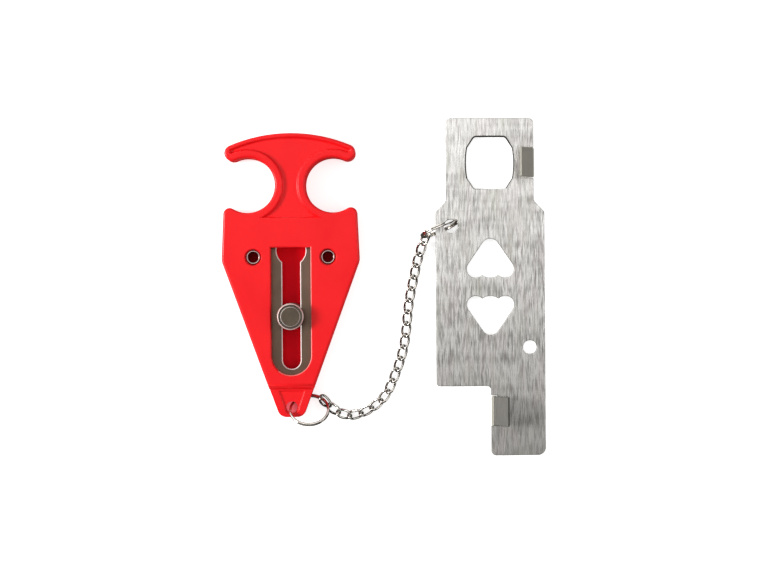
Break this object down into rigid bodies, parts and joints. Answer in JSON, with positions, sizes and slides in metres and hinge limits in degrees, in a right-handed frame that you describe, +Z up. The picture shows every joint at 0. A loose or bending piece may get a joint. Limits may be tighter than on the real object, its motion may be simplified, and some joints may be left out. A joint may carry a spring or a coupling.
{
  "type": "portable door lock",
  "caption": "Plastic T-grip handle with a sliding stud, joined by a chain to a bent steel strike plate with a latch opening and two heart openings; it locks a door from inside.",
  "frame": {"origin": "on the table, under the middle of the whole lock as it is laid out", "axes": "+Z up from the table, +Y along the handle towards its grip bar and along the strike plate, +X from the handle to the strike plate"},
  "size_m": [0.1238, 0.13, 0.0154],
  "materials": {
    "red_plastic": "moulded, satin gloss",
    "slide_steel": "dark, dull",
    "stud_steel": "turned, dull",
    "rivet_steel": "plated, pressed into the back shell",
    "nickel": "nickel plated, bright",
    "brushed_steel": "brushed lengthwise"
  },
  "bodies": {
    "handle": {"handle_back": "red_plastic", "handle_front": "red_plastic", "slide_plate": "slide_steel", "rivet_left": "rivet_steel", "rivet_right": "rivet_steel"},
    "stud": {"slide_stud": "stud_steel"},
    "handle_ring": {"handle_ring": "nickel"},
    "chain_link_01": {"chain_link_01": "nickel"},
    "chain_link_02": {"chain_link_02": "nickel"},
    "chain_link_03": {"chain_link_03": "nickel"},
    "chain_link_04": {"chain_link_04": "nickel"},
    "chain_link_05": {"chain_link_05": "nickel"},
    "chain_link_06": {"chain_link_06": "nickel"},
    "chain_link_07": {"chain_link_07": "nickel"},
    "chain_link_08": {"chain_link_08": "nickel"},
    "chain_link_09": {"chain_link_09": "nickel"},
    "chain_link_10": {"chain_link_10": "nickel"},
    "chain_link_11": {"chain_link_11": "nickel"},
    "chain_link_12": {"chain_link_12": "nickel"},
    "chain_link_13": {"chain_link_13": "nickel"},
    "chain_link_14": {"chain_link_14": "nickel"},
    "chain_link_15": {"chain_link_15": "nickel"},
    "chain_link_16": {"chain_link_16": "nickel"},
    "chain_link_17": {"chain_link_17": "nickel"},
    "chain_link_18": {"chain_link_18": "nickel"},
    "chain_link_19": {"chain_link_19": "nickel"},
    "chain_link_20": {"chain_link_20": "nickel"},
    "chain_link_21": {"chain_link_21": "nickel"},
    "plate_ring": {"plate_ring": "nickel"},
    "strike_plate": {"strike_plate": "brushed_steel"}
  },
  "joints": [
    {"name": "stud_slide", "type": "slide", "parent": "handle", "child": "stud", "axis": [0, 1, 0], "range_m": [-0.0165, 0.0224]},
    {"name": "handle_ring_turn", "type": "hinge", "parent": "handle", "child": "handle_ring", "pos_m": [-0.02892, -0.0466, 0.006], "axis": [0, 0.7071, 0.7071], "range_deg": [-30, 25]},
    {"name": "chain_link_01_swing", "type": "hinge", "parent": "handle_ring", "child": "chain_link_01", "pos_m": [-0.02353, -0.04317, 0.00257], "axis": [0.1964, -0.2218, 0.9551], "range_deg": [-30, 12]},
    {"name": "chain_link_02_lift", "type": "hinge", "parent": "chain_link_01", "child": "chain_link_02", "pos_m": [-0.02164, -0.04531, 0.00169], "axis": [0.5966, 0.8025, 0], "range_deg": [-21, 30]},
    {"name": "chain_link_03_swing", "type": "hinge", "parent": "chain_link_02", "child": "chain_link_03", "pos_m": [-0.01801, -0.04801, 0.00139], "axis": [0, 0, -1], "range_deg": [-15, 30]},
    {"name": "chain_link_04_lift", "type": "hinge", "parent": "chain_link_03", "child": "chain_link_04", "pos_m": [-0.01367, -0.04932, 0.00139], "axis": [0.2131, -0.977, 0], "range_deg": [-18, 27]},
    {"name": "chain_link_05_swing", "type": "hinge", "parent": "chain_link_04", "child": "chain_link_05", "pos_m": [-0.00924, -0.04836, 0.00139], "axis": [0, 0, 1], "range_deg": [-30, 15]},
    {"name": "chain_link_06_lift", "type": "hinge", "parent": "chain_link_05", "child": "chain_link_06", "pos_m": [-0.00517, -0.04634, 0.00139], "axis": [-0.6021, 0.7984, 0], "range_deg": [-30, 30]},
    {"name": "chain_link_07_swing", "type": "hinge", "parent": "chain_link_06", "child": "chain_link_07", "pos_m": [-0.00155, -0.04361, 0.00139], "axis": [0, 0, -1], "range_deg": [-15, 30]},
    {"name": "chain_link_08_lift", "type": "hinge", "parent": "chain_link_07", "child": "chain_link_08", "pos_m": [0.00123, -0.04003, 0.00139], "axis": [0.9176, -0.3975, 0], "range_deg": [-30, 30]},
    {"name": "chain_link_09_swing", "type": "hinge", "parent": "chain_link_08", "child": "chain_link_09", "pos_m": [0.00303, -0.03587, 0.00139], "axis": [0, 0, 1], "range_deg": [-30, 18]},
    {"name": "chain_link_10_lift", "type": "hinge", "parent": "chain_link_09", "child": "chain_link_10", "pos_m": [0.00474, -0.03167, 0.00139], "axis": [-0.945, 0.3272, 0], "range_deg": [-30, 30]},
    {"name": "chain_link_11_swing", "type": "hinge", "parent": "chain_link_10", "child": "chain_link_11", "pos_m": [0.00623, -0.02738, 0.00139], "axis": [0, 0, -1], "range_deg": [-21, 30]},
    {"name": "chain_link_12_lift", "type": "hinge", "parent": "chain_link_11", "child": "chain_link_12", "pos_m": [0.0074, -0.023, 0.00139], "axis": [0.9884, -0.152, 0], "range_deg": [-30, 30]},
    {"name": "chain_link_13_swing", "type": "hinge", "parent": "chain_link_12", "child": "chain_link_13", "pos_m": [0.00809, -0.01852, 0.00139], "axis": [0, 0, 1], "range_deg": [-30, 24]},
    {"name": "chain_link_14_lift", "type": "hinge", "parent": "chain_link_13", "child": "chain_link_14", "pos_m": [0.00861, -0.01401, 0.00139], "axis": [-0.9959, 0.0903, 0], "range_deg": [-30, 30]},
    {"name": "chain_link_15_swing", "type": "hinge", "parent": "chain_link_14", "child": "chain_link_15", "pos_m": [0.00902, -0.00949, 0.00139], "axis": [0, 0, -1], "range_deg": [-27, 27]},
    {"name": "chain_link_16_lift", "type": "hinge", "parent": "chain_link_15", "child": "chain_link_16", "pos_m": [0.00959, -0.00499, 0.00139], "axis": [0.9808, -0.1951, 0], "range_deg": [-30, 30]},
    {"name": "chain_link_17_swing", "type": "hinge", "parent": "chain_link_16", "child": "chain_link_17", "pos_m": [0.01048, -0.00055, 0.00139], "axis": [0, 0, 1], "range_deg": [-21, 30]},
    {"name": "chain_link_18_lift", "type": "hinge", "parent": "chain_link_17", "child": "chain_link_18", "pos_m": [0.01144, 0.00389, 0.00139], "axis": [-0.9781, 0.208, 0], "range_deg": [-30, 30]},
    {"name": "chain_link_19_swing", "type": "hinge", "parent": "chain_link_18", "child": "chain_link_19", "pos_m": [0.01238, 0.00832, 0.00139], "axis": [0.0051, 0.0199, -0.9998], "range_deg": [-30, 15]},
    {"name": "chain_link_20_lift", "type": "hinge", "parent": "chain_link_19", "child": "chain_link_20", "pos_m": [0.01352, 0.01271, 0.00149], "axis": [0.9403, -0.3402, 0], "range_deg": [-30, 21]},
    {"name": "chain_link_21_swing", "type": "hinge", "parent": "chain_link_20", "child": "chain_link_21", "pos_m": [0.01502, 0.01687, 0.00249], "axis": [-0.0992, -0.2505, 0.963], "range_deg": [-12, 30]},
    {"name": "plate_ring_lift", "type": "hinge", "parent": "chain_link_21", "child": "plate_ring", "pos_m": [0.01608, 0.01955, 0.00329], "axis": [-0.9298, 0.3681, 0], "range_deg": [-30, 30]},
    {"name": "strike_plate_turn", "type": "hinge", "parent": "plate_ring", "child": "strike_plate", "pos_m": [0.02118, 0.02219, 0.00772], "axis": [0.3718, -0.9203, 0.1219], "range_deg": [-20, 90]}
  ]
}
